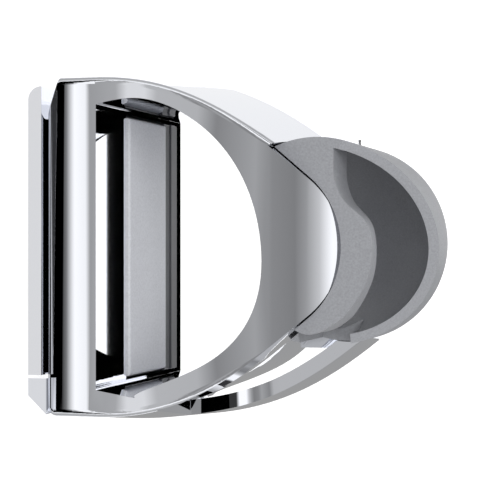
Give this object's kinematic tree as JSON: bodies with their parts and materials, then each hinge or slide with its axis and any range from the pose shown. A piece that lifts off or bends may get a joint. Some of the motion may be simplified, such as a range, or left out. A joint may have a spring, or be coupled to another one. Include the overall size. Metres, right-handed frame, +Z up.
{
  "type": "shower rail slider",
  "caption": "Chromed slider for a wide D-profile shower rail, with a clamp lever and brake shoe at the back and an open plastic cup for the hand shower",
  "frame": {"origin": "On the flat lower face, in the middle of the D-shaped rail passage, halfway between its flat back and its bow", "axes": "+Z up the rail, +X from the flat back of the rail towards the cup, +Y towards the closed side of the casting"},
  "size_m": [0.0615, 0.06, 0.044],
  "materials": {
    "chrome": "mirror-bright chrome plating",
    "lever_chrome": "mirror-bright chrome plating",
    "grey_plastic": "fine matte moulded grey",
    "dark_plastic": "matte moulded black",
    "pad_rubber": "matte light grey rubber",
    "steel": "turned stainless steel",
    "spring_steel": "drawn spring wire"
  },
  "bodies": {
    "root": {"body": "chrome", "cup": "grey_plastic", "lever_pin": "steel", "spring_closed_side": "spring_steel", "spring_open_side": "spring_steel", "screw_closed_side": "steel", "screw_open_side": "steel"},
    "lever": {"clamp_lever": "lever_chrome"},
    "shoe": {"shoe_carrier": "dark_plastic", "brake_pad": "pad_rubber", "stud_closed_side": "steel", "stud_open_side": "steel"}
  },
  "joints": [
    {"name": "lever_hinge", "type": "hinge", "parent": "root", "child": "lever", "pos_m": [-0.0197, 0.02, 0.0163], "axis": [0, 0, -1], "range_deg": [0, 20]},
    {"name": "shoe_slide", "type": "slide", "parent": "root", "child": "shoe", "axis": [-1, 0, 0], "range_m": [0, 0.0008]}
  ],
  "couplings": [
    {"joint": "shoe_slide", "follows": "lever_hinge", "m_per_rad": 0.00229}
  ]
}
